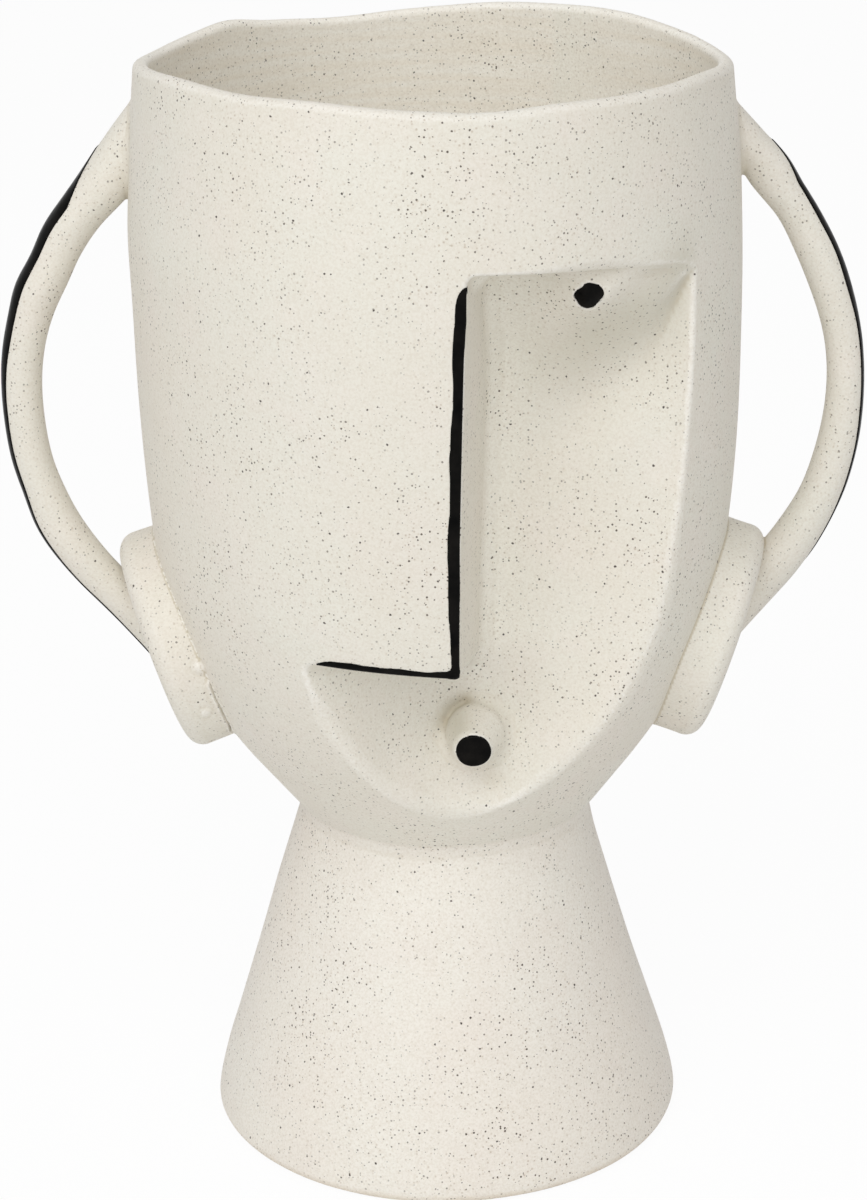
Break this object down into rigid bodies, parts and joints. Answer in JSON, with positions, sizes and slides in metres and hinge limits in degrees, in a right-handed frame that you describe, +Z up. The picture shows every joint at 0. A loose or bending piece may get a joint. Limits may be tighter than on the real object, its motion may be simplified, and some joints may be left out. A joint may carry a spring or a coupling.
{
  "type": "face vase",
  "caption": "Hand-built ceramic vase on a flared pedestal: a wide cup carved as an abstract face with a spout eye and mouth, disc ears and bowed side handles.",
  "frame": {"origin": "on the table under the pedestal, on the axis that the cup and the pedestal turn about", "axes": "+Z up, -Y towards the viewer of the face, +X towards the side with the eye"},
  "size_m": [0.2308, 0.1602, 0.3026],
  "materials": {
    "head_clay": "matt speckled stoneware",
    "pedestal_clay": "matt speckled stoneware",
    "base_clay": "bare fired clay",
    "left_ear_clay": "matt speckled stoneware",
    "right_ear_clay": "matt speckled stoneware",
    "left_handle_clay": "matt speckled stoneware",
    "right_handle_clay": "matt speckled stoneware",
    "left_stripe_glaze": "glossy black glaze",
    "right_stripe_glaze": "glossy black glaze",
    "eye_clay": "matt speckled stoneware",
    "mouth_clay": "matt speckled stoneware",
    "eye_glaze": "glossy black glaze",
    "mouth_glaze": "glossy black glaze",
    "nose_glaze": "glossy black glaze"
  },
  "bodies": {
    "root": {"head_shell": "head_clay", "pedestal": "pedestal_clay", "base_slab": "base_clay", "left_ear": "left_ear_clay", "right_ear": "right_ear_clay", "left_handle": "left_handle_clay", "right_handle": "right_handle_clay", "left_handle_stripe": "left_stripe_glaze", "right_handle_stripe": "right_stripe_glaze", "eye_cone": "eye_clay", "mouth_cone": "mouth_clay", "eye_dot": "eye_glaze", "mouth_dot": "mouth_glaze", "nose_line": "nose_glaze"}
  },
  "joints": []
}
